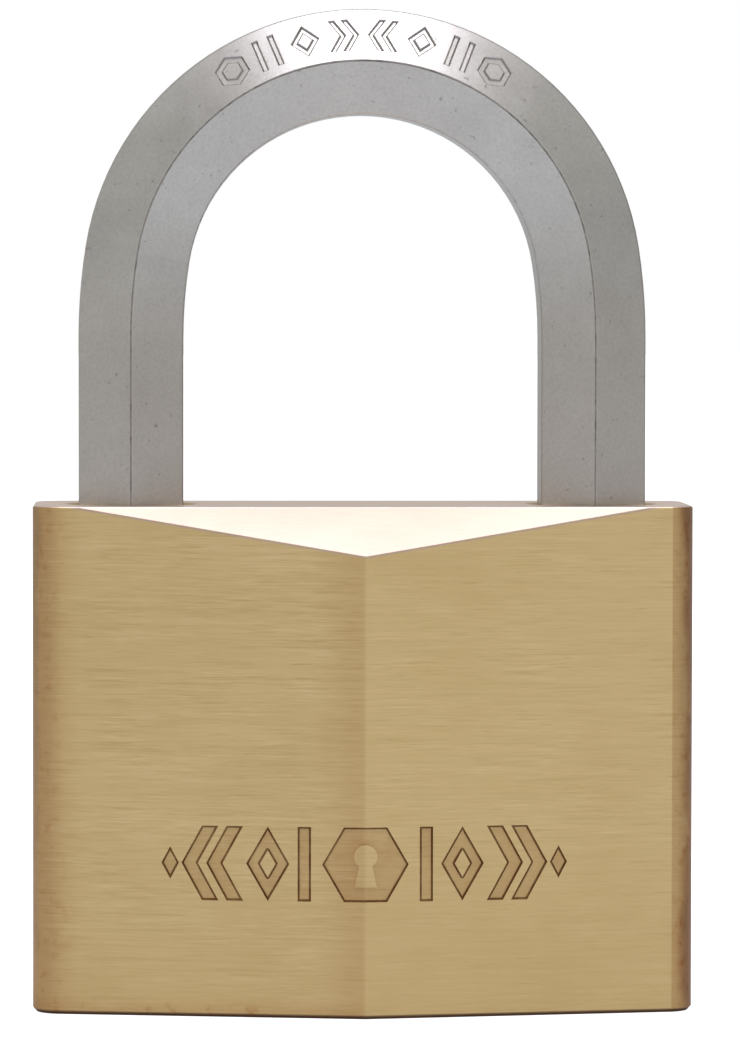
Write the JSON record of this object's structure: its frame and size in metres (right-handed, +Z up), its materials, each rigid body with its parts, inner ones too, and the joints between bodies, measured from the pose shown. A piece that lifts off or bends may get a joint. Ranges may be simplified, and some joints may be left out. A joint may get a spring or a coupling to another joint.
{
  "type": "padlock",
  "caption": "Solid brass padlock with a ridged bevelled body, a hexagonal steel shackle that lifts, a turning key plug and two sprung bolts driven by its cam.",
  "frame": {"origin": "centre of the flat bottom of the brass body", "axes": "+X across the body towards the toe (short) leg of the shackle, -Y out of the front ridge, +Z up through the shackle"},
  "size_m": [0.065, 0.027, 0.0987],
  "materials": {
    "brass_body": "solid brass, horizontally brushed, lightly tarnished",
    "shackle_steel": "satin plated hardened steel",
    "brass_plug": "turned brass",
    "pin_brass": "turned brass",
    "inner_steel": "machined steel, oiled",
    "pin_steel": "ground steel pin",
    "spring_steel": "drawn spring wire"
  },
  "bodies": {
    "body": {"lock_body": "brass_body", "heel_stop_pin": "pin_steel", "plug_retaining_pin": "pin_steel", "bolt_bore_plug": "brass_plug", "chamber_plugs": "brass_plug", "shackle_spring": "spring_steel", "toe_bolt_spring": "spring_steel", "heel_bolt_spring": "spring_steel", "driver_pin_1": "pin_brass", "driver_pin_2": "pin_brass", "driver_pin_3": "pin_brass", "driver_pin_4": "pin_brass", "driver_pin_5": "pin_brass", "pin_spring_1": "spring_steel", "pin_spring_2": "spring_steel", "pin_spring_3": "spring_steel", "pin_spring_4": "spring_steel", "pin_spring_5": "spring_steel"},
    "shackle": {"shackle": "shackle_steel"},
    "plug": {"plug": "brass_plug", "cam": "inner_steel", "key_pin_1": "pin_brass", "key_pin_2": "pin_brass", "key_pin_3": "pin_brass", "key_pin_4": "pin_brass", "key_pin_5": "pin_brass"},
    "toe_bolt": {"toe_bolt": "inner_steel"},
    "heel_bolt": {"heel_bolt": "inner_steel"}
  },
  "joints": [
    {"name": "shackle_lift", "type": "slide", "parent": "body", "child": "shackle", "axis": [0, 0, 1], "range_m": [0, 0.0183], "deforming": ["shackle_spring"]},
    {"name": "plug_turn", "type": "hinge", "parent": "body", "child": "plug", "pos_m": [0, 0, 0.015], "axis": [0, 0, 1], "range_deg": [0, 90]},
    {"name": "toe_bolt_slide", "type": "slide", "parent": "body", "child": "toe_bolt", "axis": [1, 0, 0], "range_m": [0, 0.00241], "deforming": ["toe_bolt_spring"]},
    {"name": "heel_bolt_slide", "type": "slide", "parent": "body", "child": "heel_bolt", "axis": [-1, 0, 0], "range_m": [0, 0.00241], "deforming": ["heel_bolt_spring"]}
  ],
  "couplings": [
    {"joint": "toe_bolt_slide", "follows": "plug_turn", "m_per_rad": 0.0015279},
    {"joint": "heel_bolt_slide", "follows": "plug_turn", "m_per_rad": 0.0015279}
  ]
}
